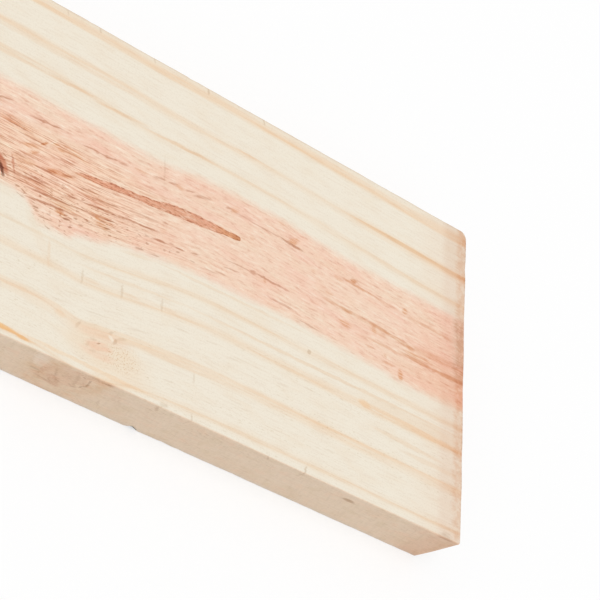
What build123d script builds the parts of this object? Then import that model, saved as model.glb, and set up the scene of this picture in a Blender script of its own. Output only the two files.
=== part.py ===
"""Sawn softwood plank, one solid, lying flat with its heart face up.

X runs along the plank, Y across its width and Z through its thickness.
The origin is at the middle of the underside. All sizes are in millimetres.
"""

import os

from build123d import *

# Plank
plank_length = 1800.0
plank_width = 150.0
plank_thickness = 25.0
worn_corner_radius = 2.0  # the four corners of the plank, seen from above
arris_radius = 0.6  # every edge round the two wide faces

# Splinter torn out of the lower front arris, near the right-hand end
splinter_from_end = 180.0  # from that end to the deepest place of the tear
splinter_run_left = 4.0  # from the deepest place to each feathered tip
splinter_run_right = 5.5
splinter_height = 2.0  # up the front edge of the plank
splinter_depth = 3.0  # in under the plank
tear_overrun_share = 0.25  # of its own height and depth, how far the tear is cut past the two faces

# Places worked out from those sizes
right_end_x = plank_length / 2
front_edge_y = -plank_width / 2
splinter_x = right_end_x - splinter_from_end
height_overrun = tear_overrun_share * splinter_height
depth_overrun = tear_overrun_share * splinter_depth

# The tear's deepest section: a triangle across the arris, with its long side as the torn face
with BuildSketch(Plane.YZ.offset(splinter_x)) as tear_section:
    with BuildLine():
        Polyline(
            (front_edge_y - depth_overrun, splinter_height + height_overrun),
            (front_edge_y + splinter_depth + depth_overrun, -height_overrun),
            (front_edge_y - depth_overrun, -height_overrun),
            close=True,
        )
    make_face()

# The whole plank
with BuildPart() as plank:
    with BuildSketch():
        RectangleRounded(plank_length, plank_width, worn_corner_radius)
    extrude(amount=plank_thickness)

    wide_faces = plank.faces().filter_by(Axis.Z)
    fillet(wide_faces.edges(), arris_radius)

    # The tear runs out to a point on the arris, each way along the grain
    left_tip = Vertex(splinter_x - splinter_run_left, front_edge_y, 0)
    right_tip = Vertex(splinter_x + splinter_run_right, front_edge_y, 0)
    loft([left_tip, tear_section.sketch, right_tip], ruled=True, mode=Mode.SUBTRACT)

plank.part.label = "plank"
os.makedirs("parts", exist_ok=True)
export_step(plank.part, "parts/plank.step")
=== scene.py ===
"""Looks of the sawn softwood plank: a mesh with worn edges, its grain, and a plain studio round it.

Lengths are in millimetres unless a name says otherwise. A place on the plank is given by x, from its
right-hand end (negative leftwards), y, from its centre line, and z, from its heart face (negative down).
"""

import math

import bpy
import numpy as np
from mathutils import Matrix, Vector, noise


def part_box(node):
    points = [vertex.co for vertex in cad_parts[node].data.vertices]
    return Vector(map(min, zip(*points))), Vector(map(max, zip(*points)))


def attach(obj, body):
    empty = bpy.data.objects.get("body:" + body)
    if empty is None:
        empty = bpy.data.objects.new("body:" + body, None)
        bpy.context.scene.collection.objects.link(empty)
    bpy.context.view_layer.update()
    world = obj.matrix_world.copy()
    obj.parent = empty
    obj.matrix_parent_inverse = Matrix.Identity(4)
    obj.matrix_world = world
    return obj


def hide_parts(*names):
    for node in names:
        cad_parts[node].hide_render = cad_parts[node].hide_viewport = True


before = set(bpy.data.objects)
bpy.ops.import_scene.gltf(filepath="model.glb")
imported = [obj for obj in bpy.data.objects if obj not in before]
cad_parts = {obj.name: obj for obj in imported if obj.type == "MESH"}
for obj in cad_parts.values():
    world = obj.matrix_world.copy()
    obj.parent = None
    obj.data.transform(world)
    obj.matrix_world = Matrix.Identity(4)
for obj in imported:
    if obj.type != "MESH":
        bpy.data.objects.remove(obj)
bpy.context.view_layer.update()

MM = 0.001  # metres

# Plank, from the frame
plank_low, plank_high = (np.array(corner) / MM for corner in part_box("plank"))
plank_length, plank_width, plank_thickness = plank_high - plank_low
half_length = plank_length / 2
half_width = plank_width / 2

# Edges and corners
corner_radius = 2.0  # the upright corners of the left-hand end
right_back_radius = 3.8  # and of the right-hand one
right_front_radius = 1.2
arris_radius = 0.6
arris_wear = 0.35  # most that wear adds to the arris radius, or leaves off it
arris_wear_pitch = 22.0  # along the plank
chip_size = 1.1  # most that a chip adds to it
chip_pitch = 7.0
chip_rarity_share = 0.42  # of the noise's height, how much of it leaves no chip
ragged_end_depth = 0.15  # how far the saw cut's fibres stand back at most
ragged_end_reach = 4.0  # how far along the plank that shows
end_foot_inset = 1.2  # how far each end stands back at the underside
end_foot_height = 9.0  # how far up from there that shows
end_insets = (  # y, and how far both saw cuts stand back there
    (-75, 0.6), (-66, 0.4), (-58, 0.3), (-53, 0.15), (-47, 0.0), (-40, 0.15), (-33, 0.3), (-28, 0.0),
    (-14, 0.15), (-3, 0.5), (6, 0.3), (15, 0.2), (24, 0.45), (31, 0.5), (42, 0.25), (52, 0.05), (56.5, 0.5),
    (62, 0.0), (75, 0.0),
)
edge_ripple = 0.07  # depth of the saw's ripple in the two narrow edges
edge_ripple_pitch = 9.0

# Splinter torn out of the lower front arris
splinter_x = -180.0
splinter_run_left = 4.0
splinter_run_right = 5.5
splinter_height = 2.0
splinter_depth = 3.0
splinter_roughness_share = 0.2  # of its depth, how uneven the torn face is

# Mesh spacing
fine_steps = (0.0, 0.25, 0.44, 0.6, 0.85, 1.46, 2.0, 2.8, 3.8, 5.2)  # from an edge of the plank inwards
photo_part = 320.0  # from the right-hand end, a little more than the photograph shows
photo_step = 2.5
splinter_step = 0.6
far_step = 12.0
across_step = 1.6
through_step = 2.2

# Camera, solved from the outline in the photograph
camera_place = Vector((-997.86, -562.15, 813.61))  # x, y, z on the plank
camera_aim = Vector((-109.45, 0.85, 0.0))
camera_roll_degrees = 71.194
camera_lens = 190.571
camera_sensor = 36.0

# Light
sky_strength = 0.648
sun_strength = 1.10
sun_spread_degrees = 50.0
sun_tilt_degrees = (8.0, -12.0)  # about X and Y, from straight down
floor_half_size_m = 30.0
floor_evenness_share = 0.55  # how much of the floor's white the camera sees without shadow

# Pith and growth rings: the pith runs inside the plank, nearer to the heart face
pith_y = 11.0
pith_z = -9.0

relief_depth = 0.04  # of the raised fibres and the saw marks
grain_inset = 1.0  # how far in from the right-hand end the grain's and the marks' x is counted from
wood_gloss = 0.25


def srgb(red, green, blue):
    """A colour written as 0 to 255 in sRGB, in Blender's linear values."""
    shares = (level / 255 for level in (red, green, blue))
    linear = [s / 12.92 if s <= 0.04045 else ((s + 0.055) / 1.055) ** 2.4 for s in shares]
    return (*linear, 1.0)


# Colour of the bare sapwood, and tints: what each stain leaves of the red, green and blue under it
sapwood = srgb(242, 233, 216)
late_wood_tint = (0.98, 0.775, 0.605)
late_core_tint = (0.945, 0.85, 0.755)
fibre_tint = (0.957, 0.93, 0.915)
blotch_tint = (0.985, 0.955, 0.925)
grit_tint = (0.955, 0.945, 0.93)
speck_tint = (0.90, 0.87, 0.82)
heart_tint = (1.03, 0.815, 0.745)
dark_mottle_tint = (0.86, 0.73, 0.68)
pale_mottle_tint = (1.04, 1.16, 1.22)
rosy_tint = (1.0, 0.94, 0.945)
less_rosy_tint = (0.99, 1.03, 1.03)
blush_tint = (1.0, 0.94, 0.935)
right_blush_tint = (0.985, 0.92, 0.89)
fan_tint = (1.02, 0.98, 0.945)
dark_thread_tint = (0.74, 0.54, 0.45)
pale_thread_tint = (1.04, 1.10, 1.12)
hair_tint = (0.70, 0.51, 0.40)
far_vein_tint = (0.76, 0.57, 0.46)
pore_tint = (0.64, 0.48, 0.40)
brown_stain_tint = (0.84, 0.62, 0.44)
vein_tint = (0.64, 0.44, 0.35)
brown_vein_tint = (0.79, 0.57, 0.42)
pale_fold_tint = (1.03, 1.12, 1.17)
dash_tint = (0.62, 0.48, 0.40)
tan_line_tint = (0.945, 0.79, 0.66)
orange_tint = (1.0, 0.70, 0.42)
# Grey and brown marks, and the painted shadow beside the burr's pale chip
grey_and_chip_shadow_tint = (0.84, 0.78, 0.72)
streak_tint = (0.88, 0.625, 0.53)
streak_fleck_tint = (0.74, 0.62, 0.55)
streak_rim_tint = (0.72, 0.56, 0.47)
streak_right_tint = (0.95, 0.90, 0.74)
streak_tip_tint = (0.84, 0.76, 0.68)
burr_blush_tint = (1.0, 0.925, 0.855)
burr_pink_tint = (0.99, 0.80, 0.73)
burr_chip_tint = (1.06, 1.2, 1.32)
burr_dot_tint = (0.86, 0.75, 0.63)
knot_tint = (0.84, 0.58, 0.46)
knot_wood_tint = (0.70, 0.42, 0.33)
knot_slit_tint = (0.26, 0.14, 0.10)
far_halo_tint = (0.96, 0.84, 0.70)
far_knot_tint = (0.80, 0.56, 0.41)
far_border_tint = (0.50, 0.34, 0.25)
far_middle_tint = (0.66, 0.46, 0.34)
end_wash_tint = (0.985, 0.945, 0.925)
end_grey_tint = (0.96, 0.91, 0.895)
end_back_tint = (0.97, 0.965, 0.95)
end_tan_tint = (0.915, 0.775, 0.69)
end_late_tint = (0.95, 0.87, 0.80)
end_heart_tint = (0.84, 0.86, 0.85)
cut_tint = (0.93, 0.95, 0.97)
cut_ring_tint = (0.87, 0.76, 0.66)
edge_tint = (0.99, 0.866, 0.79)
saw_mark_tint = (0.96, 0.955, 0.95)
edge_blot_tint = (0.955, 0.945, 0.905)
edge_clear_tint = (1.02, 0.985, 0.97)
edge_end_tint = (1.0, 0.965, 0.94)
edge_knot_tint = (0.955, 0.885, 0.85)
edge_pale_tint = (1.05, 1.12, 1.21)
edge_stain_tint = (0.86, 0.74, 0.67)
edge_crack_tint = (0.64, 0.52, 0.43)
# Painted shadow, near black, in the splinter's torn pocket
pocket_shadow_tint = (0.10, 0.08, 0.07)
# Painted cool light along the foot of both narrow edges, next to the white floor
edge_foot_cool_light_tint = (0.96, 1.0, 1.06)
# Painted shade along the back arris of the heart face
back_arris_shade_tint = (0.90, 0.88, 0.85)


# Fields: values that vary over the wood

class Field:
    """A value over the wood: one output of a node tree, with plain arithmetic."""

    def __init__(self, tree, socket):
        self.tree = tree
        self.socket = socket

    def __add__(self, other):
        return calculate("ADD", self, other)

    def __sub__(self, other):
        return calculate("SUBTRACT", self, other)

    def __rsub__(self, other):
        return calculate("SUBTRACT", other, self)

    def __mul__(self, other):
        return calculate("MULTIPLY", self, other)

    def __truediv__(self, other):
        return calculate("DIVIDE", self, other)

    def __abs__(self):
        return calculate("ABSOLUTE", self)

    __radd__ = __add__
    __rmul__ = __mul__


def feed(tree, socket, value):
    """Links a field to a node's input, or sets a plain number there."""
    if isinstance(value, Field):
        tree.links.new(value.socket, socket)
    else:
        socket.default_value = value


def calculate(operation, *values, limited=False):
    """One Math node over fields and plain numbers."""
    tree = next(value.tree for value in values if isinstance(value, Field))
    node = tree.nodes.new("ShaderNodeMath")
    node.operation = operation
    node.use_clamp = limited
    for socket, value in zip(node.inputs, values):
        feed(tree, socket, value)
    return Field(tree, node.outputs[0])


def ramp(value, low, high, top=1.0):
    """0 up to low and top from high on, with a smooth rise between. With high below low it falls."""
    node = value.tree.nodes.new("ShaderNodeMapRange")
    node.interpolation_type = "SMOOTHSTEP"
    node.clamp = False
    feed(value.tree, node.inputs["Value"], value)
    feed(value.tree, node.inputs["From Min"], low)
    feed(value.tree, node.inputs["From Max"], high)
    feed(value.tree, node.inputs["To Max"], top)
    return Field(value.tree, node.outputs["Result"])


def hump(value, middle, spread):
    """1 at the middle, a half at one spread from it, and less beyond."""
    aside = (value - middle) * (1 / spread)
    return calculate("DIVIDE", 1.0, calculate("MULTIPLY_ADD", aside, aside, 1.0))


def curve(value, points):
    """A smooth curve through points (value, result), level beyond its two ends."""
    first, last = points[0][0], points[-1][0]
    results = [result for _, result in points]
    low, high = min(results), max(results)
    node = value.tree.nodes.new("ShaderNodeFloatCurve")
    track = node.mapping.curves[0]
    for _ in points[2:]:
        track.points.new(0.5, 0.5)
    for point, (at, result) in zip(track.points, points):
        point.location = ((at - first) / (last - first), (result - low) / (high - low))
    node.mapping.update()
    share = calculate("MULTIPLY_ADD", value, 1 / (last - first), -first / (last - first), limited=True)
    feed(value.tree, node.inputs["Value"], share)
    return calculate("MULTIPLY_ADD", Field(value.tree, node.outputs["Value"]), high - low, low)


def distance(first, second):
    """How far it is to a place that lies this far off in two directions, square to each other."""
    return calculate("SQRT", calculate("MULTIPLY_ADD", first, first, second * second))


def larger(first, second):
    """The larger of two fields, of which the first may be missing."""
    return second if first is None else calculate("MAXIMUM", first, second)


def noisy(grain, along, across, detail=2.0, roughness=0.5, seed=0.0):
    """Noise from 0 to 1, drawn out along the grain: its sizes along and across are in millimetres."""
    tree = grain.tree
    scaled = tree.nodes.new("ShaderNodeVectorMath")
    scaled.operation = "MULTIPLY_ADD"
    scaled.inputs[1].default_value = (1 / along, 1 / across, 1 / across)
    scaled.inputs[2].default_value = (seed, seed, seed)
    feed(tree, scaled.inputs[0], grain)
    node = tree.nodes.new("ShaderNodeTexNoise")
    node.inputs["Scale"].default_value = 1.0
    node.inputs["Detail"].default_value = detail
    node.inputs["Roughness"].default_value = roughness
    tree.links.new(scaled.outputs["Vector"], node.inputs["Vector"])
    return Field(tree, node.outputs["Fac"])


def ball(spot, middle, halves, turn=0.0):
    """1 at the middle of a ball with these half sizes, falling evenly to 0 at its border."""
    laid = spot.tree.nodes.new("ShaderNodeMapping")
    laid.vector_type = "TEXTURE"
    laid.inputs["Location"].default_value = middle
    laid.inputs["Rotation"].default_value = (0.0, 0.0, turn)
    laid.inputs["Scale"].default_value = halves
    feed(spot.tree, laid.inputs["Vector"], spot)
    fading = spot.tree.nodes.new("ShaderNodeTexGradient")
    fading.gradient_type = "SPHERICAL"
    spot.tree.links.new(laid.outputs["Vector"], fading.inputs["Vector"])
    return Field(spot.tree, fading.outputs["Fac"])


def combined(x, y, z):
    """The vector of three fields."""
    node = x.tree.nodes.new("ShaderNodeCombineXYZ")
    for socket, value in zip(node.inputs, (x, y, z)):
        feed(x.tree, socket, value)
    return Field(x.tree, node.outputs["Vector"])


# Shape

def grid_lines(low, high, step, near_low=fine_steps, near_high=fine_steps):
    """Places from low to high: fine ones next to both ends, and even steps between."""
    start = low + near_low[-1]
    stop = high - near_high[-1]
    count = max(1, round((stop - start) / step))
    middle = np.linspace(start, stop, count + 1)
    return np.concatenate([low + np.array(near_low[:-1]), middle, high - np.array(near_high[-2::-1])])


def lines_along():
    """The places along the plank where its mesh has a section."""
    far = grid_lines(-half_length, half_length - photo_part, far_step, near_high=(0.0,))
    before = splinter_x - splinter_run_left + half_length
    after = splinter_x + splinter_run_right + half_length
    left = np.arange(half_length - photo_part + photo_step, before, photo_step)
    torn = np.linspace(before, after, round((after - before) / splinter_step) + 1)
    right = grid_lines(after, half_length, photo_step, near_low=(0.0,))
    return np.concatenate([far, left, torn, right[1:]])


def side_grids():
    """The six sides of the plank as a box: the name of each and its grid of points, wound to face out."""
    xs = lines_along()
    ys = grid_lines(-half_width, half_width, across_step)
    zs = grid_lines(0.0, plank_thickness, through_step)

    def grid(us, vs, place):
        u, v = np.meshgrid(us, vs, indexing="ij")
        return np.stack(np.broadcast_arrays(*place(u, v)), axis=-1)

    return {
        "heart_face": grid(xs, ys, lambda u, v: (u, v, plank_thickness)),
        "underside": grid(xs, ys[::-1], lambda u, v: (u, v, 0.0)),
        "front_edge": grid(xs, zs, lambda u, v: (u, -half_width, v)),
        "back_edge": grid(xs[::-1], zs, lambda u, v: (u, half_width, v)),
        "right_end": grid(ys, zs, lambda u, v: (half_length, u, v)),
        "left_end": grid(ys[::-1], zs, lambda u, v: (-half_length, u, v)),
    }


def rough(*place):
    """Even noise, from about -1 to 1, at a place measured in its own grain size."""
    return noise.noise(Vector(place))


def arris_radii(points):
    """The radius of the arris next to each point: worn unevenly along it, with a chip here and there."""
    radii = []
    for x, y, z in points:
        back = math.copysign(7.3, y)
        top = math.copysign(3.1, z - plank_thickness / 2)
        wear = arris_wear * rough(x / arris_wear_pitch, back, top)
        chip = chip_size * max(0.0, rough(x / chip_pitch, back + 20, top) - chip_rarity_share) / 0.4
        radii.append(arris_radius + wear + min(chip, chip_size))
    return np.array(radii)


def rounded(points):
    """The box's points drawn in to the round corners and worn arrises of the plank."""
    x, y, z = points.T.copy()
    corner = np.where(x < 0, corner_radius, np.where(y > 0, right_back_radius, right_front_radius))
    core_x = np.clip(x, corner - half_length, half_length - corner)
    core_y = np.clip(y, corner - half_width, half_width - corner)
    out_x = x - core_x
    out_y = y - core_y
    reach = np.maximum(np.hypot(out_x, out_y), 1e-9)
    square_reach = np.maximum(np.abs(out_x), np.abs(out_y))
    toward_x = out_x / reach
    toward_y = out_y / reach
    x = core_x + toward_x * square_reach
    y = core_y + toward_y * square_reach

    radii = np.minimum(arris_radii(points), corner)
    upper = z > plank_thickness / 2
    below_face = np.where(upper, plank_thickness - z, z)
    past_side = np.maximum(radii - (corner - square_reach), 0)
    past_face = np.maximum(radii - below_face, 0)
    pull = np.maximum(past_side, past_face) / np.maximum(np.hypot(past_side, past_face), 1e-9)
    in_arris = (past_side > 0) & (past_face > 0)
    pull = np.where(in_arris, 1 - pull, 0)
    x -= toward_x * past_side * pull
    y -= toward_y * past_side * pull
    z += np.where(upper, -1, 1) * past_face * pull
    return np.stack([x, y, z], axis=-1)


def torn_splinter(points):
    """The points with the splinter gone: those outside the torn face are drawn back onto it."""
    x, y, z = points.T.copy()
    from_deepest = x - (half_length + splinter_x)
    run = np.where(from_deepest < 0, splinter_run_left, splinter_run_right)
    share = np.maximum(1 - np.abs(from_deepest) / run, 1e-6)
    fibres = np.array([rough(a / 2.0, b / 0.7, c / 0.7) for a, b, c in points])
    share *= 1 + splinter_roughness_share * fibres
    inward = y + half_width
    outside = 1 - inward / (splinter_depth * share) - z / (splinter_height * share)
    outside = np.where(np.abs(from_deepest) < run, np.maximum(outside, 0), 0)
    y += splinter_depth * share * outside / 2
    z += splinter_height * share * outside / 2
    return np.stack([x, y, z], axis=-1)


def sawn(points):
    """The points with the saw's marks: ragged ends, and a ripple along the two narrow edges."""
    x, y, z = points.T.copy()
    from_end = half_length - np.abs(x)
    at_end = np.clip(1 - from_end / ragged_end_reach, 0, 1) ** 2
    fibres = np.array([
        0.6 * abs(rough(b / 1.7, c / 6, a / 900)) + 0.7 * max(0, rough(b / 6.5, c / 14, a / 300))
        for a, b, c in points
    ])
    inset = ragged_end_depth * np.minimum(fibres, 1) + np.interp(y, *zip(*end_insets))
    inset += end_foot_inset * np.clip(1 - z / end_foot_height, 0, 1)
    x -= np.sign(x) * inset * at_end
    at_edge = np.clip(1 - (half_width - np.abs(y)) / arris_radius, 0, 1)
    ripple = edge_ripple * (1 + np.sin(2 * math.pi * x / edge_ripple_pitch)) / 2
    y -= np.sign(y) * ripple * at_edge
    return np.stack([x, y, z], axis=-1)


# Where each side lies in the plank's map, as shares of its width and height
map_rows = {
    "heart_face": (0.535, 0.995),
    "underside": (0.255, 0.520),
    "front_edge": (0.155, 0.240),
    "back_edge": (0.080, 0.140),
    "right_end": (0.005, 0.065),
    "left_end": (0.005, 0.065),
}
map_columns = {"right_end": (0.005, 0.490), "left_end": (0.510, 0.995)}
map_long_side = (0.005, 0.560, 0.995)  # the left end, where the photograph's part starts, and the right end


def map_places(side, grid):
    """Each grid point's place in the map, with more room for the part that the photograph shows."""
    x, y, z = np.moveaxis(grid, -1, 0)
    low, high = map_rows[side]
    if side in map_columns:
        u = np.interp(y, (-half_width, half_width), map_columns[side])
        v = np.interp(z, (0, plank_thickness), (low, high))
    else:
        u = np.interp(x, (-half_length, half_length - photo_part, half_length), map_long_side)
        lying = side in ("heart_face", "underside")
        v = np.interp(y, (-half_width, half_width), (low, high)) if lying else np.interp(
            z, (0, plank_thickness), (low, high))
    return np.stack([u, v], axis=-1)


def plank_mesh():
    """The plank's mesh, in metres, with its map."""
    corners, places, quads = [], [], []
    for side, grid in side_grids().items():
        start = sum(len(points) for points in corners)
        index = start + np.arange(grid[..., 0].size).reshape(grid.shape[:2])
        quads.append(np.stack(
            [index[:-1, :-1], index[1:, :-1], index[1:, 1:], index[:-1, 1:]], axis=-1).reshape(-1, 4))
        corners.append(grid.reshape(-1, 3))
        places.append(map_places(side, grid).reshape(-1, 2))
    corners, places, quads = (np.concatenate(parts) for parts in (corners, places, quads))
    points, welded = np.unique(corners.round(4), axis=0, return_inverse=True)
    shaped = sawn(torn_splinter(rounded(points)))
    mesh = bpy.data.meshes.new("plank_wood")
    mesh.from_pydata((shaped * MM).tolist(), [], welded.reshape(-1)[quads].tolist())
    mesh.uv_layers.new(name="OFBake").uv.foreach_set("vector", places[quads.reshape(-1)].ravel())
    mesh.shade_smooth()
    mesh.validate()
    return mesh


# Grain

class Place:
    """Where a point of the wood is, in millimetres."""

    def __init__(self, tree):
        coordinates = tree.nodes.new("ShaderNodeTexCoord")
        measured = tree.nodes.new("ShaderNodeVectorMath")
        measured.operation = "MULTIPLY_ADD"
        measured.inputs[1].default_value = (1 / MM, 1 / MM, 1 / MM)
        measured.inputs[2].default_value = (grain_inset - half_length, 0.0, -plank_thickness)
        tree.links.new(coordinates.outputs["Object"], measured.inputs[0])
        split = tree.nodes.new("ShaderNodeSeparateXYZ")
        tree.links.new(measured.outputs["Vector"], split.inputs[0])
        self.tree = tree
        self.spot = Field(tree, measured.outputs["Vector"])
        self.x, self.y, self.z = (Field(tree, output) for output in split.outputs)


# Knots beyond the photograph's part: x, y, half length, half width, and the z of its face
far_knots = (
    (-528, 31, 15, 9, 0), (-868, -30, 9, 7, 0), (-1215, 13, 19, 11, 0), (-1563, 46, 10, 7.5, 0),
    (-430, -20, 12, 8, -25), (-1040, 34, 16, 10, -25), (-1442, -33, 9, 7, -25),
)


def straightened(place, drift):
    """The y at which each fibre would run without its sweep to the right and round the knots."""
    right = ramp(place.x, -150, -10) * hump(place.y, 25, 26) * 6.0
    left_run = ramp(place.x, -155, -245) * ramp(place.x, -430, -330)
    left = left_run * (hump(place.y, -22, 32) * 7.0 - hump(place.y, 50, 16) * 2.9)
    burr = hump(place.x, -234, 12) * hump(place.y, -60, 9) * 3.5
    low_burr = hump(place.x, -226, 16) * hump(place.y, -76, 8) * 4.0
    dip = hump(place.x, -200, 22) * hump(place.y, 41, 7) * 1.4
    low_sag = ramp(place.x, -260, -215) * hump(place.y, -50, 9) * 1.6
    high_lift = ramp(place.x, -100, -30) * hump(place.y, 52, 6) * 0.8
    straight = place.y + right + left + burr + low_burr + dip + low_sag - high_lift + drift
    for x, y, half_long, half_wide, _ in far_knots:
        push = hump(place.x, x, half_long * 2.0) * hump(place.y, y, half_wide * 2.2) * 0.6
        straight = straight - (place.y - y) * push
    return straight


# Growth rings: half the distance between the two lines that each makes on the heart face, how far its late
# wood fades inwards and outwards, how strongly it shows, and how strongly its darkest line does
rings = (
    (31.1, 3.2, 2.4, 0.46, 0.55),
    (42.8, 3.6, 2.6, 0.71, 0.30),
    (59.4, 2.2, 5.6, 0.87, 0.15),
    (80.9, 3.8, 2.6, 0.39, 0.55),
)
ring_core = 1.3  # half width of the darkest line in each


def ring_lines(place, fibre_y, fine):
    """How strongly the rings' late wood and their darkest lines show, and the distance from the pith."""
    aside = fibre_y - pith_y
    down = place.z - pith_z
    radius = distance(aside, down)
    dark_stretch = ramp(place.x, -95, -45) * ramp(aside, 30, 40) * 0.46
    faint_stretch = ramp(place.x, -215, -250) * ramp(place.x, -420, -330) * ramp(aside, 0, -10) * 0.5
    faint_top = ramp(place.x, -150, -115) * ramp(place.x, -70, -90) * ramp(aside, 30, 40) * 0.4
    late = None
    cores = None
    for number, (half_spread, inner, outer, strength, core) in enumerate(rings):
        at = math.hypot(half_spread, pith_z)
        core_hold = core
        if number == 0:
            hold = strength - faint_stretch
        elif number == 1:
            hold = dark_stretch + strength - faint_top
            core_hold = dark_stretch * 2.2 + core
        elif number == 2:
            hold = ramp(aside, 0, 10) * 0.25 + strength
        else:
            hold = strength
        late = larger(late, ramp(radius, at - inner, at) * ramp(radius, at + outer, at) * fine * hold)
        cores = larger(cores, ramp(abs(radius - at), ring_core, 0.1) * core_hold)
    return late, cores, radius


# The heart's borders on the heart face, as x and y
heart_top = (
    (-420, 31), (-330, 30.5), (-240, 30), (-203, 29.6), (-180, 31.4), (-140, 33.1), (-110, 32.4),
    (-80, 30.7), (0, 30.1),
)
heart_low = (
    (-420, -10), (-330, -12), (-280, -13.2), (-270, -14.4), (-263, -18.5), (-257, -22.6), (-246, -23),
    (-239, -20), (-225, -17.8), (-216, -15), (-200, -13), (-180, -11), (-140, -10), (-118, -9.6),
    (-80, -10.9), (-55, -11.9), (-42, -13.0), (-28, -12.7), (0, -12.2),
)


def heart(place, drift, wander):
    """1 in the pink heartwood, a round core about the pith."""
    top = curve(place.x, heart_top)
    low = curve(place.x, heart_low)
    middle = (top + low) * 0.5
    half = (top - low) * 0.5
    aside = place.y + drift - middle
    down = place.z - pith_z
    radius = distance(aside, down)
    border = calculate("SQRT", calculate("MULTIPLY_ADD", half, half, pith_z * pith_z))
    return ramp(border - radius + wander, -2.6, 2.2)


# Marks on the heart face, each a thin oval from one place to another: x, y, x, y, half width, strength
veins = (
    (-286, 21.2, -277, 22.7, 0.6, 0.85), (-268, 20.2, -249.5, 21.2, 0.5, 0.8),
    (-261.4, 20.0, -258.8, 21.2, 0.8, 0.75), (-258.5, 20.6, -249.2, 21.5, 0.55, 0.9),
    (-240, 19.4, -219, 20.4, 0.5, 0.75), (-231.4, 19.1, -229.6, 19.9, 0.8, 0.6),
    (-227, 19.6, -219, 20.5, 0.55, 0.9), (-199, 21.8, -191.5, 23.1, 0.7, 0.55),
    (-190, 22.7, -184.6, 23.9, 0.6, 0.6), (-180, 23.5, -174.4, 24.3, 0.6, 0.55),
    (-175, 22.9, -165, 25.0, 0.9, 0.7), (-156, 25.1, -152.6, 25.8, 0.7, 0.7),
    (-152, 25.0, -138, 25.3, 0.6, 0.4), (-145, 24.7, -120, 24.6, 0.5, 0.45),
    (-123, 24.6, -107.5, 23.6, 0.75, 1.0), (-156, 1.7, -136, 2.4, 0.55, 0.6),
    (-140, 2.1, -135.6, 2.7, 1.4, 0.6), (-137, 2.6, -117.5, 2.1, 0.7, 0.9),
    (-132.2, 2.6, -129.8, 2.8, 1.0, 0.8), (-156, -1.6, -145.5, -0.8, 0.5, 0.6),
    (-130, -4.9, -111, -5.4, 0.55, 0.5), (-110, -8.3, -95, -8.9, 0.55, 0.55),
    (-267, -10.6, -236, -8.6, 0.75, 1.0), (-240, -8.9, -219, -7.1, 0.6, 0.75),
    (-266, -5.2, -253.5, -4.7, 0.6, 0.75), (-263.6, -4.4, -258.4, -5.1, 0.75, 0.9),
    (-247, -5.9, -238.5, -4.9, 0.5, 0.7), (-239, -5.2, -208, -2.6, 0.65, 1.0),
    (-216, -2.9, -194, -1.3, 0.6, 0.85), (-277, -7.2, -265, -7.2, 0.8, 0.7),
    (-267, -14.4, -247, -12.4, 0.75, 0.95), (-250.6, -12.9, -246.4, -12.7, 0.75, 1.0),
    (-248, -12.5, -238, -11.9, 0.5, 0.6), (-216, 1.3, -195, 3.2, 0.5, 0.45),
    (-192, 4.1, -188.6, 4.3, 0.6, 0.6), (-241, 0.1, -233.5, 0.4, 0.5, 0.65),
    (-224, -0.3, -217, 0.7, 0.6, 0.7), (-275, 1.5, -267, 1.4, 0.5, 0.6), (-197, -5.0, -189, -4.5, 0.7, 0.9),
    (-184, -4.2, -178.5, -3.7, 0.6, 0.8), (-188, -3.8, -184.6, -3.3, 0.6, 0.6),
    (-175, -3.1, -170, -2.1, 0.6, 0.7), (-160.5, -5.7, -153.5, -5.3, 0.55, 0.5),
    (-167, -7.1, -158.5, -6.1, 0.6, 0.35), (-262, 0.3, -253, 0.6, 0.5, 0.7),
    (-248, 2.2, -242, 3.5, 0.5, 0.6), (-276.4, -7.3, -272.0, -6.9, 0.6, 0.9),
    (-218.4, 20.1, -212.8, 20.5, 0.8, 0.55), (-238, 1.2, -226, 1.6, 0.45, 0.7),
    (-234, -1.2, -221, -0.6, 0.45, 0.4), (-281, 15.2, -269.5, 14.0, 0.45, 0.7),
    (-279, 12.9, -265, 12.9, 0.45, 0.6), (-266, 10.6, -258, 11.2, 0.45, 0.6),
    (-249.4, -13.0, -245.8, -13.2, 0.6, 0.6), (-246.8, -15.9, -243.4, -15.5, 0.5, 0.9),
    (-276, -8.6, -262, -9.0, 0.4, 0.3), (-272, -6.0, -258, -6.4, 0.4, 0.3),
    (-254, -3.4, -241, -3.0, 0.4, 0.4),
)
# Broader, browner ones, most of them towards the right
brown_veins = (
    (-84, 21.3, -60, 20.3, 0.85, 0.8), (-77.5, 21.4, -72.5, 22.9, 1.4, 0.8),
    (-62, 20.2, -44, 19.3, 1.1, 0.35), (-85, 7.1, -71.5, 6.9, 1.15, 0.85), (-95, 7.6, -82, 7.2, 1.1, 0.55),
    (-75, 7.2, -59, 6.5, 1.2, 0.5), (-66, 6.9, -48, 6.3, 1.35, 0.85), (-52, 6.3, -32, 4.8, 1.4, 0.7),
    (-35, 5.6, -4, 6.4, 2.2, 0.22), (-14, 6.8, 5, 8.4, 1.4, 0.35), (-64, -0.5, -39, -0.3, 0.9, 0.5),
    (-44, 0.4, -18, 0.2, 1.3, 0.8), (-21.8, -0.4, -18.8, 0.6, 1.5, 0.7), (-24, 0.1, 10, 0.9, 1.5, 0.9),
    (-55, -7.8, -46, -7.8, 0.9, 0.6), (-67, -4.5, -60, -3.9, 0.8, 0.5), (-40, 18.9, -4, 18.6, 1.2, 0.45),
    (-260.8, 10.2, -257.4, 12.4, 0.8, 0.8), (-256.5, 0.9, -251.5, 1.5, 1.1, 0.9),
    (-249, 2.3, -243.4, 3.3, 0.8, 0.7), (-269, 7.6, -262, 8.6, 0.8, 0.6), (-265, 4.6, -261, 6.6, 0.7, 0.6),
    (-250.6, -13.2, -246.6, -14.4, 1.5, 0.7), (-8, 5.6, 4, 5.2, 1.6, 0.7),
)
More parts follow.
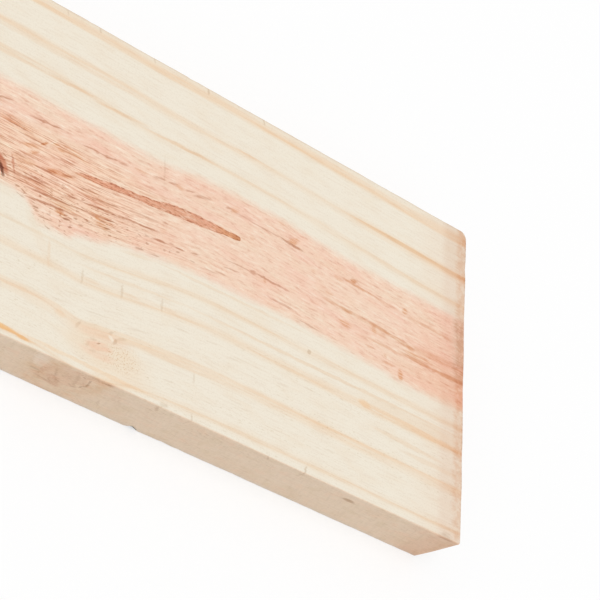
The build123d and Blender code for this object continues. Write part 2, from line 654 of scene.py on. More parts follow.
brown_stains = (
    (-285, 14.6, -266, 13.9, 1.6, 0.45), (-282, 13.6, -261, 13.4, 0.6, 0.8),
    (-271, 13.4, -268, 13.8, 0.8, 1.0), (-280, 15.7, -263, 14.7, 0.6, 0.6),
    (-281, 12.0, -256, 11.6, 0.6, 0.6), (-255.4, 12.4, -250.6, 14.4, 0.9, 0.9),
    (-252.4, 12.3, -247.6, 12.2, 0.9, 0.9), (-251, 15.1, -238, 14.6, 0.6, 0.6),
    (-246, 14.2, -235, 12.0, 0.9, 0.8), (-242, 12.8, -227, 12.1, 0.6, 0.7),
    (-253, 13.2, -236, 12.8, 1.8, 0.5), (-261, 10.0, -257.2, 12.6, 0.8, 1.0),
    (-270.6, 7.0, -260.4, 8.6, 1.4, 1.0), (-266, 5.1, -260.6, 7.3, 0.8, 0.9),
    (-265.7, 4.4, -264.3, 4.9, 0.6, 0.8), (-268, 3.6, -262, 5.0, 0.9, 0.5),
    (-271, 0.4, -261, 0.6, 1.8, 0.6), (-276, -0.5, -271.6, -0.1, 0.6, 0.5),
    (-258, 1.0, -242, 3.1, 1.7, 1.0), (-257, 1.2, -249, 1.7, 1.5, 0.9), (-242, 5.6, -229, 6.2, 0.6, 0.7),
    (-239, -0.4, -219, -1.4, 2.2, 0.3), (-234, 1.0, -228, 2.0, 0.7, 0.5),
    (-277, -7.8, -252, -8.2, 2.6, 0.35), (-229.8, -7.6, -225.8, -9.4, 1.6, 1.0),
    (-229, -10.6, -221.6, -11.0, 1.6, 0.9), (-251, -13.4, -245.0, -14.8, 2.2, 1.0),
    (-186, 23.4, -180.6, 23.2, 1.4, 0.5), (-153, 24.8, -147.5, 27.6, 2.0, 0.6),
    (-117, 24.6, -110.6, 27.6, 1.8, 0.9), (-114, 24.0, -111.6, 28.4, 1.3, 0.8),
    (-124, 31.4, -117.6, 31.6, 0.8, 0.6), (-77, 22.0, -73.6, 22.4, 1.3, 0.7),
    (-88, 20.3, -82, 19.2, 1.6, 0.4), (-84, 0.7, -75.4, 0.5, 2.0, 0.85), (-61.6, 6.4, -59.4, 2.6, 2.4, 0.8),
    (-39.5, 5.0, -33.4, 4.4, 1.5, 0.55), (-40, 2.5, -21, 2.2, 1.4, 0.7), (-32, 6.2, -4, 6.6, 2.8, 0.35),
    (-42.9, -7.4, -42.0, -12.8, 2.3, 1.0), (-54.2, -4.6, -51.6, -4.6, 1.2, 0.5),
    (-93, 10.8, -87.6, 10.8, 1.1, 0.4), (-131.6, 1.6, -129.6, 0.8, 1.2, 0.6),
    (-141, 17.6, -138, 17.8, 1.2, 0.5), (-102.4, 17, -99.6, 17, 1.2, 0.4),
    (-42.4, 20.8, -38.6, 20.8, 1.8, 0.85), (-234, -6.6, -219, -8.6, 2.4, 0.6),
    (-274.5, 1.2, -266.5, -4.4, 2.6, 0.4), (-254, -10.4, -239, -11.6, 2.0, 0.6),
    (-210, 20.9, -202, 21.5, 1.4, 0.45), (-194, 0.6, -189, 0.4, 2.2, 0.35), (-64, 4.4, -52, 4.2, 1.8, 0.4),
)
pale_folds = (
    (-258.6, 9.4, -252.4, 14.8, 1.2, 0.9), (-262, 6.2, -254, 9.4, 0.9, 0.5),
    (-246, 8.2, -226, 9.6, 1.2, 0.6), (-262, -2.0, -243, -1.4, 1.7, 0.8), (-236, 3.0, -214, 5.4, 1.1, 0.5),
    (-240, -7.2, -222, -5.6, 0.7, 0.5), (-210, 0.6, -194, 2.2, 4.0, 0.5),
    (-244, 11.0, -220, 11.8, 1.6, 0.45), (-92, 13.5, -44, 12.0, 5.0, 0.2),
    (-227, 10.2, -211, 11.4, 1.4, 1.0), (-190, 7.6, -146, 9.0, 2.5, 0.3),
    (-284, 18.4, -262, 18.0, 1.6, 0.5), (-282, 10.4, -268, 10.6, 1.2, 0.5),
    (-256, 8.4, -240, 8.8, 1.3, 0.6), (-216, -6.6, -196, -5.0, 2.0, 0.4),
)
# Rosier places in the heart
heart_blush = (
    (-290, 21.8, -200, 21.2, 4.0, 0.8), (-200, 23, -130, 25, 3.5, 0.4), (-122, 27, -104, 29, 4.0, 0.9),
    (-100, 24, -62, 22, 5.0, 0.5), (-40, 13, -2, 13.5, 6.0, 0.5), (-62, -6, -16, -8, 4.5, 0.7),
    (-142, 1, -122, 1, 5.0, 0.5), (-256, -20, -226, -17, 5.0, 0.4),
)
dashes = (
    (-262.8, -17.2, -259.2, -17.0, 0.5, 0.9), (-261.4, -18.5, -259.2, -18.3, 0.45, 0.7),
    (-258.8, -20.0, -251.6, -19.6, 0.45, 0.8), (-255, -17.2, -252.4, -17.0, 0.45, 0.6),
    (-243.2, -18.5, -241.2, -18.1, 0.55, 1.0), (-240.8, -13.6, -238.6, -13.2, 0.5, 0.9),
    (-234.2, -12.3, -231.6, -12.0, 0.45, 0.7), (-237.8, -15.2, -235.2, -15.0, 0.45, 0.7),
    (-221.8, -13.5, -219.8, -13.2, 0.5, 0.9), (-255.4, -23.0, -252.6, -23.2, 0.45, 0.6),
    (-233.8, -18.3, -231.8, -18.0, 0.45, 0.6), (-272.6, -12.0, -269.6, -11.7, 0.5, 0.9),
    (-269.4, -12.3, -266.6, -12.9, 0.5, 0.9), (-271.6, -14.7, -267, -15.5, 0.5, 0.5),
    (-217.4, -10.0, -214.2, -9.7, 0.45, 0.7), (-246.4, -14.6, -243.8, -13.9, 0.5, 0.9),
    (-246, -16.1, -242.6, -15.7, 0.5, 1.0), (-226.4, -9.1, -223.2, -8.8, 0.5, 0.8),
    (-224.4, -11.1, -220.6, -10.7, 0.5, 0.7), (-222.8, -7.5, -218.6, -6.9, 0.45, 0.8),
    (-212.2, -7.1, -210.6, -6.9, 0.5, 0.6), (-201.4, -5.7, -199, -5.3, 0.5, 0.6),
    (-205.4, -6.7, -203.2, -7.1, 0.5, 0.7), (-200.8, -8.8, -198.6, -8.4, 0.45, 0.7),
    (-190.8, -7.9, -189.2, -7.7, 0.8, 0.5), (-187.4, -7.5, -186.6, -7.3, 0.6, 0.5),
    (-183.4, -5.9, -181.2, -5.4, 0.45, 0.7), (-175, -6.7, -172.2, -6.3, 0.45, 0.6),
    (-206.4, -12.9, -201.6, -12.5, 0.5, 0.7), (-197, -12.3, -192.6, -11.9, 0.45, 0.5),
    (-280, -1.2, -278, -2.2, 0.5, 0.9), (-223.6, -61.0, -221.6, -60.1, 0.5, 0.8),
)
tan_lines = (
    (-178, -27.0, 4, -25.5, 1.1, 0.55), (-236, -31.8, -176, -27.2, 0.9, 0.35),
    (-266, -18, -250, -39, 3.5, 0.16), (-62, -40.2, -12, -41.2, 1.5, 0.4),
    (-228, -58.0, -196, -53.4, 1.2, 0.4), (-40, -44.6, 0, -44.8, 1.6, 0.35),
    (-234, -36.4, -224, -35.8, 1.2, 0.3), (-212, -34.8, -202, -34.2, 1.2, 0.3),
    (-190, -32.8, -180, -32.4, 1.2, 0.3), (-252.4, -28, -252.0, -39, 1.3, 0.4),
    (-262, 41.6, -233, 43.0, 1.0, 0.6), (-234, 41.0, -203, 42.6, 1.0, 0.6),
    (-204, 41.0, -164, 42.2, 1.0, 0.7), (-152, 54.5, -136, 54.2, 0.7, 0.5),
    (-212, -54.6, -152, -52.8, 1.1, 0.45), (-214, -17.4, -196, -14.8, 1.0, 0.3),
    (-196, -14.4, -104, -13.0, 0.9, 0.35), (-70, -28.5, 4, -29.0, 4.5, 0.35),
    (-278, -53.4, -250, -53.0, 1.0, 0.4), (-300, 41.4, -260, 42.0, 1.3, 0.5),
    (-300, 53.0, -210, 53.0, 1.4, 0.3),
)
orange_stains = (
    (-304, -70.4, -258, -72.4, 1.5, 1.0), (-268, -71.9, -258, -72.9, 1.3, 0.9),
    (-69.5, -31.2, -60.5, -31.9, 2.2, 0.5), (-72, -31.0, 10, -32.9, 1.7, 0.3),
    (-264, -71.0, -186, -72.4, 1.2, 0.3),
)
grey_strokes_and_chip_shadow = (
    (-249, -50.6, -238, -49.4, 0.6, 0.3), (-231, -49.6, -217, -47.9, 0.6, 0.35),
    (-208, -48.5, -194, -46.1, 0.6, 0.3), (-183, -38.6, -173, -38.3, 0.55, 0.35),
    (-164, -37.7, -157, -37.4, 0.5, 0.35), (-150, -40.4, -142, -39.9, 0.5, 0.3),
    (-148, -39.2, -138, -38.8, 0.45, 0.25), (-243, -45.6, -236, -44.8, 0.5, 0.25),
    (-187, -62.9, -180, -62.3, 0.5, 0.35), (-124, -39.6, -117, -39.2, 0.5, 0.3),
    (-120, -41.2, -113, -40.6, 0.5, 0.25), (-104, -37.4, -97, -37.2, 0.5, 0.3),
    (-148, -58.4, -140, -58.0, 0.5, 0.3), (-142, -59.6, -133, -59.0, 0.5, 0.25),
    (-147, -61.0, -139, -60.4, 0.5, 0.25), (-90, -60.4, -83, -60.2, 0.6, 0.3),
    (-234.0, -39.4, -233.8, -33.0, 1.0, 0.6), (-212.0, -37.4, -211.9, -31.0, 1.0, 0.65),
    (-189.6, -35.4, -189.5, -29.4, 1.0, 0.6), (-102.4, -20.9, -100.4, -19.9, 1.3, 1.4),
    (-169.2, -59.2, -168.9, -54.0, 0.9, 0.5), (-169.2, -75, -168.8, -71.8, 0.8, 0.7),
    (-101.2, -75.4, -100.4, -71.6, 0.9, 1.0), (-187.4, -74.0, -182.2, -73.2, 0.8, 0.7),
    (-192.9, 33.5, -192.3, 20.5, 0.8, 0.45), (-233.9, 74.6, -233.1, 72.2, 0.9, 0.7),
    (-202.6, 74.6, -201.4, 72.8, 0.9, 0.6), (-170.4, 74.6, -169.6, 71.8, 1.0, 0.9),
    (-135.9, 75, -135.1, 72.2, 0.9, 0.8), (-252.4, 74.6, -251.6, 72.2, 0.9, 0.5),
    # The second mark on the next line is a painted shadow beside the burr's pale chip; the rest are grey
    # and brown marks
    (-235.6, -58.4, -232.8, -55.0, 1.0, 0.6), (-214.8, -58.0, -212.6, -55.2, 1.1, 1.0),
    (-227.6, -64.9, -223.4, -64.5, 0.9, 0.5), (-227.8, -60.1, -223.8, -59.5, 0.8, 0.5),
    (-229.4, -64.0, -227.4, -61.4, 0.9, 0.4), (-217.4, -54.8, -215.2, -53.2, 0.9, 0.6),
    (-213, -55.2, -207.6, -53.6, 0.9, 0.5),
)
# The burr beside the front edge: its blush, its spots of pink, a pale chip, and where its dots are
burr_blush = (
    (-242, -62, -194, -66, 11, 0.8), (-247, -55.4, -241, -55.8, 2.2, 0.8), (-226, -74, -203, -73, 2.2, 0.8),
)
burr_pink = (
    (-229.5, -62.4, -215, -61.2, 3.0, 0.9), (-233, -65.0, -213, -65.4, 2.6, 0.5),
    (-237, -57.6, -205, -56.4, 3.4, 0.35),
)
burr_chip = (
    (-217.6, -55.4, -214.4, -56.9, 1.1, 1.0),
)
burr_stipple = (
    (-221, -64, -199, -62, 7.5, 1.0),
)
# The knot at the photograph's left border: its x, y and half sizes, its brown wood and its dark slit
border_knot = (-292, -8, 10.5, 12.0)
knot_wood = (
    (-283, -1.6, -276.4, -9.4, 2.4, 1.0), (-275.4, 0.0, -273.0, -7.4, 0.9, 0.75),
)
knot_slit = (
    (-281.4, -5.0, -278.5, -11.0, 1.45, 1.0),
)
# The knot in the front edge, as x, z and half sizes, and the marks on that edge, as x and z
edge_knot = (-232, -10, 11, 10)
edge_pale = (
    (-251, -1, -240, -11, 4.5, 1.0),
)
edge_stains = (
    (-231, -2.4, -211, -1.2, 1.8, 0.7), (-217, -1.7, -211.8, -1.1, 1.2, 1.0),
    (-236, -11, -226, -19, 3.2, 0.7), (-243, -4, -239, -15, 2.0, 0.5), (-232, -5.6, -227, -10, 2.0, 0.5),
    (-226, -4, -221, -3, 1.6, 0.6), (-222, -6, -217.6, -12, 2.2, 0.4), (-206, -5, -197, -15, 3.0, 0.3),
    (-31, -2, -11, -5, 4.0, 0.3),
)
edge_cracks = (
    (-221.4, -4.0, -219.6, -7.4, 0.7, 0.6), (-219.8, -6.8, -218.6, -10.2, 0.8, 0.75),
    (-219.0, -9.6, -219.8, -12.8, 0.7, 0.6), (-223.0, -14.3, -220.4, -13.0, 0.7, 0.45),
    (-226, -3.6, -223.4, -4.4, 0.6, 0.45), (-225, -12.8, -221.8, -13.8, 0.6, 0.3),
    (-246, -12.2, -240.2, -12.8, 0.8, 0.4), (-71.5, -5.3, -63.5, -5.6, 1.3, 0.75),
    (-188.0, -0.6, -184.6, -4.2, 1.2, 0.4), (-123.2, 0.0, -121.2, -2.6, 0.9, 0.4),
    (-13.5, -0.5, -4, -0.7, 1.3, 0.6), (-232, -13, -228.6, -14.4, 0.7, 0.35),
    (-234, -15.4, -230, -17.6, 0.7, 0.35), (-216.5, -1.6, -211.8, -1.2, 1.1, 0.45),
    (-206.4, -14.4, -202.6, -19.6, 0.8, 0.25), (-228.5, -3.0, -222.5, -13.0, 1.2, 0.25),
    (-241, -16.0, -229, -18.5, 0.7, 0.3), (-238, -6.0, -233, -12.0, 0.7, 0.25),
)
# The splinter's torn pocket: a painted shadow, near black, on the front edge just above the tear
torn_pocket_shadow = (
    (-180.0, -22.7, -175.6, -24.9, 1.2, 1.0),
)

face_mark_depth = 8.0  # how far down from the heart face its marks go
edge_mark_depth = 4.0  # and those of the front edge
mark_run_share = 0.66  # of a mark's length, how far it runs out each way from its middle


def marks(spot, table, depth=face_mark_depth):
    """How strongly the marks of a table show, down to a depth under the face."""
    shown = None
    for x0, y0, x1, y1, half, strength in table:
        middle = ((x0 + x1) / 2, (y0 + y1) / 2, 0.0)
        halves = (math.hypot(x1 - x0, y1 - y0) * mark_run_share, half, depth)
        oval = ball(spot, middle, halves, turn=math.atan2(y1 - y0, x1 - x0))
        shown = larger(shown, ramp(oval, 0.0, 0.6, top=strength))
    return shown


def shaken(spot, along, across):
    """The places of the wood moved a little, so that marks drawn on them come out uneven."""
    node = spot.tree.nodes.new("ShaderNodeVectorMath")
    node.operation = "ADD"
    feed(spot.tree, node.inputs[0], spot)
    feed(spot.tree, node.inputs[1], combined(along, across, across))
    return Field(spot.tree, node.outputs["Vector"])


# The long resin streak on the heart face: x, the y of its middle line, and its half width
streak_middle = (
    (-246, 5.8), (-232, 6.9), (-215, 8.6), (-200, 9.8), (-182, 12.2), (-170, 12.8), (-160, 13.5),
    (-146, 14.2),
)
streak_half = (
    (-246, 0.4), (-240, 0.7), (-235, 1.05), (-228, 1.2), (-213, 1.2), (-200, 1.5), (-182, 2.2),
    (-172, 2.15), (-164, 1.8), (-157, 1.35), (-149, 1.05), (-146, 0.7),
)


def resin_streak(place, wobble):
    """0 outside the long resin streak, rising to 1 along its middle line."""
    aside = place.y - curve(place.x, streak_middle) + wobble
    within = ramp(place.x, -247, -229) * ramp(place.x, -145.9, -147.2)
    return calculate("SUBTRACT", 1.25, abs(aside / curve(place.x, streak_half)), limited=True) * within


def from_knot(x, side, knot, wander):
    """How far a place, at x and y or z, is from a knot's middle, as a share of the way to its border."""
    middle_x, middle_side, half_x, half_side = knot
    return distance((x - middle_x) * (1 / half_x), (side - middle_side) * (1 / half_side)) + wander


def from_far_knot(spot):
    """How far a place is from the nearest of the far knots, in shares of that knot's size, up to 2."""
    nearest = None
    for x, y, half_long, half_wide, z in far_knots:
        nearest = larger(nearest, ball(spot, (x, y, z), (half_long * 2, half_wide * 2, plank_thickness)))
    return 2.0 - nearest * 2.0


class Wood:
    """The wood's colour while stains are laid on it one by one, and the fields that they share."""

    def __init__(self, tree):
        self.tree = tree
        self.colour = sapwood
        self.place = place = Place(tree)
        self.near_face = ramp(place.z, -6, -1)
        drift = (noisy(place.spot, 260, 900, detail=1, seed=31.0) - 0.5) * ramp(place.x, -330, -560) * 26.0
        fibre_y = straightened(place, drift)
        self.grain = combined(place.x, fibre_y, place.z)

        # Noise drawn out along the grain
        self.fibres = noisy(self.grain, 14, 0.8, detail=2, roughness=0.6)
        self.streaks = noisy(self.grain, 60, 1.4, detail=3, roughness=0.6, seed=7.0)
        self.broad = noisy(self.grain, 120, 6, detail=2, seed=11.0)
        self.blotches = noisy(self.grain, 20, 6, detail=4, roughness=0.6, seed=3.0)
        self.wobble = noisy(self.grain, 8, 2.5, detail=3, seed=5.0) - 0.5
        self.ragged = noisy(self.grain, 4, 0.9, detail=2, seed=15.0) - 0.5
        self.mottle = noisy(self.grain, 7, 1.2, detail=3, roughness=0.65, seed=27.0)
        self.threads = noisy(self.grain, 16, 0.62, detail=2, roughness=0.6, seed=21.0)
        self.specks = noisy(self.grain, 2.8, 0.45, detail=0, seed=2.0)
        self.grit = noisy(place.spot, 1.0, 0.8, detail=2, roughness=0.6, seed=17.0)

        # Heart, rings, ends and narrow edges
        self.pink = heart(place, drift, self.wobble * 2.4 + self.ragged * 1.6)
        self.late, self.cores, self.radius = ring_lines(place, fibre_y, self.streaks * 1.5 - 0.2)
        self.uneven = shaken(place.spot, self.ragged * 2.0, self.wobble * 1.2 + self.ragged * 0.8)
        self.patchy = ramp(self.mottle, 0.3, 0.55)
        self.from_end = half_length - abs(place.x + (half_length - grain_inset))
        self.at_edge = ramp(abs(place.y), half_width - 0.7, half_width - 0.1)
        slanted = combined(place.x + place.z * 0.55, place.y, place.z)
        self.saw_marks = noisy(slanted, 1.6, 7, detail=2, seed=13.0)

    def stain(self, tint, share):
        """Lays on a stain that takes this share of hold."""
        node = self.tree.nodes.new("ShaderNodeMix")
        node.data_type = "RGBA"
        node.blend_type = "MULTIPLY"
        feed(self.tree, node.inputs[0], share)
        feed(self.tree, node.inputs[6], self.colour)
        node.inputs[7].default_value = (*tint, 1.0)
        self.colour = Field(self.tree, node.outputs[2])


def stain_sapwood(wood):
    """Late wood of the growth rings, fibres, blotches and specks."""
    uneven_late = (wood.broad * 1.3 + 0.35) * (1 - wood.pink * 0.8)
    wood.stain(late_wood_tint, wood.late * uneven_late)
    wood.stain(late_core_tint, wood.cores * uneven_late * ramp(wood.streaks, 0.3, 0.6))
    wood.stain(fibre_tint, ramp(wood.fibres, 0.45, 0.76) * (1 - wood.pink))
    wood.stain(blotch_tint, ramp(wood.blotches, 0.42, 0.75))
    wood.stain(grit_tint, ramp(wood.grit, 0.48, 0.68))
    thin_specks = ramp(wood.specks, 0.68, 0.76) * ramp(wood.broad, 0.4, 0.6)
    wood.stain(speck_tint, thin_specks * (1 - wood.pink) * ramp(wood.place.y, -10, -40))


def stain_heart(wood):
    """The pink heart, with the fan of darker threads that spreads from the knot at the left border."""
    place, grain, pink = wood.place, wood.grain, wood.pink
    fan = ramp(place.x, -170, -235) * ramp(place.x, -450, -320)
    low_fan = fan * ramp(place.y, 6, -6)
    inner_fan = fan * ramp(place.y, 19, 14) * ramp(place.y, -18, -9)
    wood.stain(heart_tint, pink)
    wood.stain(dark_mottle_tint, pink * ramp(wood.mottle, 0.5, 0.74))
    wood.stain(pale_mottle_tint, pink * ramp(wood.mottle, 0.5, 0.28))
    rosiness = noisy(grain, 30, 8, detail=2, seed=43.0)
    wood.stain(rosy_tint, pink * ramp(rosiness, 0.48, 0.68))
    wood.stain(less_rosy_tint, pink * ramp(rosiness, 0.48, 0.32))
    wood.stain(blush_tint, pink * marks(place.spot, heart_blush))
    wood.stain(right_blush_tint, pink * ramp(place.x, -60, -15) * ramp(place.y, 12, 2))
    wood.stain(fan_tint, pink * inner_fan)
    wood.stain(dark_thread_tint, pink * ramp(wood.threads, 0.52, 0.64) * (inner_fan * 0.68 + 0.12))
    wood.stain(pale_thread_tint, pink * ramp(wood.threads, 0.48, 0.36) * (fan * 0.8 + 0.2))
    hairs = noisy(grain, 30, 0.36, detail=1, roughness=0.6, seed=37.0)
    wood.stain(hair_tint, pink * ramp(hairs, 0.55, 0.65) * inner_fan * 0.65)
    far_veins = noisy(grain, 50, 1.0, detail=2, seed=47.0)
    wood.stain(far_vein_tint, pink * ramp(far_veins, 0.64, 0.74) * ramp(place.x, -310, -380))
    pores = low_fan * 0.7 + inner_fan * 0.15 + 0.1
    wood.stain(pore_tint, ramp(wood.specks, 0.67, 0.75) * pink * pores)


def stain_marks(wood):
    """The marks on the heart face."""
    broken = wood.patchy * 0.4 + 0.6
    thready = ramp(wood.threads, 0.36, 0.58) * 0.75 + 0.25
    wood.stain(brown_stain_tint, marks(wood.uneven, brown_stains) * thready)
    wood.stain(vein_tint, marks(wood.uneven, veins) * broken)
    wood.stain(brown_vein_tint, marks(wood.uneven, brown_veins) * broken)
    wood.stain(pale_fold_tint, marks(wood.uneven, pale_folds))
    wood.stain(dash_tint, marks(wood.uneven, dashes))
    wood.stain(tan_line_tint, marks(wood.uneven, tan_lines))
    wood.stain(orange_tint, marks(wood.uneven, orange_stains))
    wood.stain(grey_and_chip_shadow_tint, marks(wood.uneven, grey_strokes_and_chip_shadow))


def stain_streak(wood):
    """The long resin streak, darker along its borders and towards its right-hand end."""
    place = wood.place
    streak = resin_streak(place, wood.wobble * 0.6 + wood.ragged * 1.3) * wood.near_face
    body = ramp(streak, 0.05, 0.35) * ramp(place.x, -246, -233) * (wood.patchy * 0.45 + 0.6)
    flecks = noisy(wood.grain, 2.6, 0.6, detail=2, roughness=0.6, seed=33.0)
    wood.stain(streak_tint, body)
    wood.stain(streak_fleck_tint, body * ramp(flecks, 0.48, 0.68))
    rim = ramp(streak, 0.1, 0.35) * ramp(streak, 0.8, 0.4)
    wood.stain(streak_rim_tint, rim * body * ramp(flecks, 0.38, 0.58))
    wood.stain(streak_right_tint, body * ramp(place.x, -164, -155))
    wood.stain(streak_tip_tint, body * ramp(place.x, -152, -149))


def stain_burr(wood):
    """The burr beside the front edge."""
    wood.stain(burr_blush_tint, marks(wood.uneven, burr_blush))
    wood.stain(burr_pink_tint, marks(wood.uneven, burr_pink) * (wood.patchy * 0.4 + 0.6))
    wood.stain(burr_chip_tint, marks(wood.place.spot, burr_chip))
    dots = noisy(wood.place.spot, 0.75, 0.75, detail=0, seed=41.0)
    dotted = marks(wood.uneven, burr_stipple) * ramp(dots, 0.53, 0.70)
    wood.stain(burr_dot_tint, dotted * ramp(wood.mottle, 0.34, 0.56))


def stain_knots(wood):
    """The knot at the photograph's left border, and those of the far stretch."""
    off_knot = from_knot(wood.place.x, wood.place.y, border_knot, wood.wobble * 0.2)
    wood.stain(knot_tint, ramp(off_knot, 1.08, 0.92) * wood.near_face)
    wood.stain(knot_wood_tint, marks(wood.uneven, knot_wood))
    wood.stain(knot_slit_tint, marks(wood.uneven, knot_slit))

    # A tan halo, brown wood in rings, a dark border and a dark middle
    away = from_far_knot(wood.uneven) + wood.wobble * 0.25
    wood.stain(far_halo_tint, ramp(away, 1.9, 1.0) * 0.7)
    knot_rings = calculate("SINE", away * 24.0) * 0.25 + 0.75
    wood.stain(far_knot_tint, ramp(away, 1.06, 0.94) * knot_rings)
    wood.stain(far_border_tint, ramp(abs(away - 1.0), 0.16, 0.03) * (wood.patchy * 0.5 + 0.5))
    wood.stain(far_middle_tint, ramp(away, 0.22, 0.06))


def stain_ends(wood):
    """The ends: a greyish wash, tan for a few millimetres in from the cut, and fine rings in the cut."""
    place = wood.place
    wick = wood.from_end - wood.fibres * 4.0 - wood.blotches * 3.0
    wood.stain(end_wash_tint, ramp(wood.from_end, 42, 14))
    wood.stain(end_grey_tint, ramp(wick, 15.5, 9.0))
    wood.stain(end_back_tint, ramp(wick, 15.0, 9.0) * ramp(place.y, 52, 62))
    end_blots = noisy(place.spot, 4, 4, detail=3, roughness=0.65, seed=29.0)
    browned = ramp(end_blots, 0.32, 0.62) * 0.85 + 0.25 - ramp(place.y, -30, -62) * 0.3
    wood.stain(end_tan_tint, ramp(wick, 5.0, 0.4) * browned * (1 - wood.at_edge * 0.5))
    wood.stain(end_late_tint, wood.late * ramp(wick, 14.0, 1.0))
    wood.stain(end_heart_tint, ramp(wick, 7.0, 1.0) * wood.pink * browned * ramp(place.y, -6, 10))
    cut = ramp(wood.from_end, 1.2, 0.7)
    wood.stain(cut_tint, cut)
    fine_rings = calculate("SINE", wood.radius * 2.2 + wood.wobble * 2.5)
    wood.stain(cut_ring_tint, ramp(fine_rings, 0.0, 0.95) * cut)


def stain_edges(wood):
    """The narrow edges: rough-sawn, with a knot in the front one; painted shadow in the splinter's pocket,
    painted cool light along their foot and painted shade on the back arris.
    """
    place, at_edge = wood.place, wood.at_edge
    edge_blots = noisy(place.spot, 9, 5, detail=3, roughness=0.6, seed=19.0)
    wood.stain(edge_tint, at_edge)
    wood.stain(saw_mark_tint, at_edge * ramp(wood.saw_marks, 0.4, 0.75))
    wood.stain(edge_blot_tint, at_edge * ramp(edge_blots, 0.48, 0.68))
    wood.stain(edge_clear_tint, at_edge * ramp(edge_blots, 0.48, 0.32))
    wood.stain(edge_end_tint, at_edge * ramp(wood.from_end, 30, 5))
    front = at_edge * ramp(place.y, 0, -10)
    off_knot = from_knot(place.x, place.z, edge_knot, wood.wobble * 0.9 + wood.ragged * 0.4)
    mottled = ramp(wood.grit, 0.36, 0.62) * 0.6 + 0.4
    wood.stain(edge_knot_tint, ramp(off_knot, 1.06, 0.82) * front * (mottled * 0.6 + 0.5))
    shifted_z = place.z + wood.wobble * 1.6 + wood.ragged
    edge_spot = combined(place.x + wood.ragged * 2.0, shifted_z, place.y + half_width)
    wood.stain(edge_pale_tint, marks(edge_spot, edge_pale, edge_mark_depth))
    wood.stain(edge_stain_tint, marks(edge_spot, edge_stains, edge_mark_depth) * mottled)
    wood.stain(edge_crack_tint, marks(edge_spot, edge_cracks, edge_mark_depth))
    # Painted shadow in the torn splinter's pocket
    wood.stain(pocket_shadow_tint, marks(edge_spot, torn_pocket_shadow, edge_mark_depth))
    # Painted cool light along the foot of both narrow edges, next to the white floor
    wood.stain(edge_foot_cool_light_tint, ramp(place.z, -22.0, -24.4) * at_edge)
    # Painted shade: a greyer line along the back arris of the heart face
    wood.stain(back_arris_shade_tint, ramp(place.y, 73.6, 74.7) * wood.near_face)


def add_relief(wood, shader):
    """Fine relief: raised fibres, and the saw's marks on the narrow edges."""
    raised = noisy(wood.place.spot, 12, 0.9, detail=2, roughness=0.6, seed=23.0)
    relief = wood.tree.nodes.new("ShaderNodeBump")
    relief.inputs["Distance"].default_value = relief_depth * MM
    height = calculate("MULTIPLY_ADD", wood.saw_marks, wood.at_edge, raised)
    feed(wood.tree, relief.inputs["Height"], height)
    wood.tree.links.new(relief.outputs["Normal"], shader.inputs["Normal"])


def wood_material():
    """Sawn softwood, the same all the way through."""
    material = bpy.data.materials.new("sawn_softwood")
    material.use_nodes = True
    tree = material.node_tree
    shader = tree.nodes["Principled BSDF"]
    wood = Wood(tree)
    for lay_on in (
        stain_sapwood, stain_heart, stain_marks, stain_streak,
        stain_burr, stain_knots, stain_ends, stain_edges,
    ):
        lay_on(wood)
    tree.links.new(wood.colour.socket, shader.inputs["Base Color"])
    shader.inputs["Specular IOR Level"].default_value = wood_gloss
    dull = calculate("MULTIPLY_ADD", wood.fibres, 0.25, 0.53)
    tree.links.new(dull.socket, shader.inputs["Roughness"])
    add_relief(wood, shader)
    return material


# Studio

def on_plank(place):
    """A place on the plank, x, y, z, in metres in the row frame."""
    return Vector((place.x + half_length, place.y, place.z + plank_thickness)) * MM


def add_camera():
    data = bpy.data.cameras.new("camera")
    data.lens = camera_lens
    data.sensor_width = camera_sensor
    data.clip_end = 100
    camera = bpy.data.objects.new("camera", data)
    camera.location = on_plank(camera_place)
    ahead = on_plank(camera_aim) - camera.location
    roll = Matrix.Rotation(math.radians(camera_roll_degrees), 3, "Z")
    camera.rotation_euler = (ahead.to_track_quat("-Z", "Y").to_matrix() @ roll).to_euler()
    bpy.context.scene.collection.objects.link(camera)
    bpy.context.scene.camera = camera


def seen_white(tree):
    """1 where the eye, a gloss or a see-through thing meets the background, 0 for the light it gives."""
    path = tree.nodes.new("ShaderNodeLightPath")
    rays = ("Is Camera Ray", "Is Glossy Ray", "Is Transmission Ray")
    camera, glossy, transmission = (Field(tree, path.outputs[name]) for name in rays)
    return calculate("ADD", camera + glossy, transmission, limited=True)


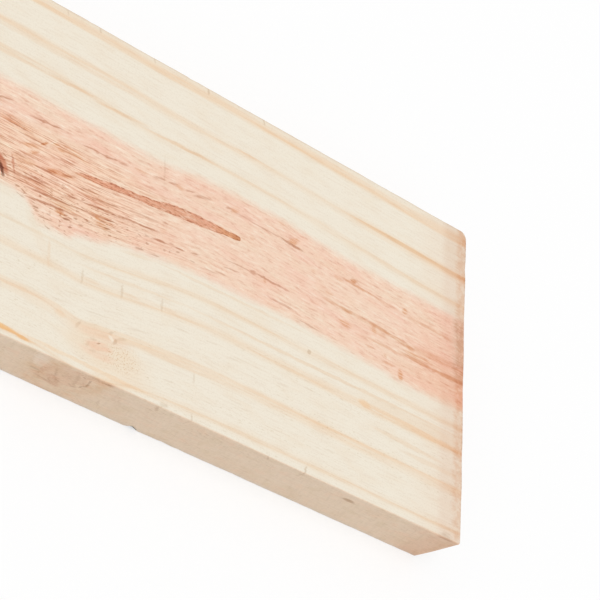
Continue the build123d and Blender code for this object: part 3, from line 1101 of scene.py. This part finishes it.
def add_floor():
    """A wide white floor, just under the plank."""
    size = floor_half_size_m
    mesh = bpy.data.meshes.new("floor")
    corners = [(-size, -size, 0), (size, -size, 0), (size, size, 0), (-size, size, 0)]
    mesh.from_pydata(corners, [], [(0, 1, 2, 3)])
    floor = bpy.data.objects.new("floor", mesh)
    bpy.context.scene.collection.objects.link(floor)
    material = bpy.data.materials.new("floor_white")
    material.use_nodes = True
    tree = material.node_tree
    shader = tree.nodes["Principled BSDF"]
    shader.inputs["Roughness"].default_value = 1.0
    shader.inputs["Specular IOR Level"].default_value = 0.0
    seen = seen_white(tree)
    mix = tree.nodes.new("ShaderNodeMix")
    mix.data_type = "RGBA"
    feed(tree, mix.inputs[0], seen)
    mix.inputs[6].default_value = (0.8, 0.8, 0.8, 1)
    mix.inputs[7].default_value = (1, 1, 1, 1)
    tree.links.new(mix.outputs[2], shader.inputs["Base Color"])
    white = tree.nodes.new("ShaderNodeEmission")
    both = tree.nodes.new("ShaderNodeMixShader")
    feed(tree, both.inputs[0], seen * floor_evenness_share)
    tree.links.new(shader.outputs[0], both.inputs[1])
    tree.links.new(white.outputs[0], both.inputs[2])
    tree.links.new(both.outputs[0], tree.nodes["Material Output"].inputs["Surface"])
    mesh.materials.append(material)


def add_light():
    """An even white sky, and a broad soft lamp overhead."""
    world = bpy.data.worlds.new("studio")
    bpy.context.scene.world = world
    world.use_nodes = True
    tree = world.node_tree
    sky = tree.nodes["Background"]
    sky.inputs["Color"].default_value = (1, 1, 1, 1)
    mix = tree.nodes.new("ShaderNodeMix")
    feed(tree, mix.inputs[0], seen_white(tree))
    mix.inputs[2].default_value = sky_strength
    mix.inputs[3].default_value = 1.0
    tree.links.new(mix.outputs[0], sky.inputs["Strength"])
    data = bpy.data.lights.new("overhead", "SUN")
    data.energy = sun_strength
    data.angle = math.radians(sun_spread_degrees)
    sun = bpy.data.objects.new("overhead", data)
    sun.rotation_euler = (*(math.radians(tilt) for tilt in sun_tilt_degrees), 0)
    bpy.context.scene.collection.objects.link(sun)


plank = bpy.data.objects.new("plank_wood", plank_mesh())
bpy.context.scene.collection.objects.link(plank)
plank.data.materials.append(wood_material())
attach(plank, "root")
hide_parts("plank")
add_floor()
add_light()
add_camera()
bpy.context.scene.view_settings.view_transform = "Standard"
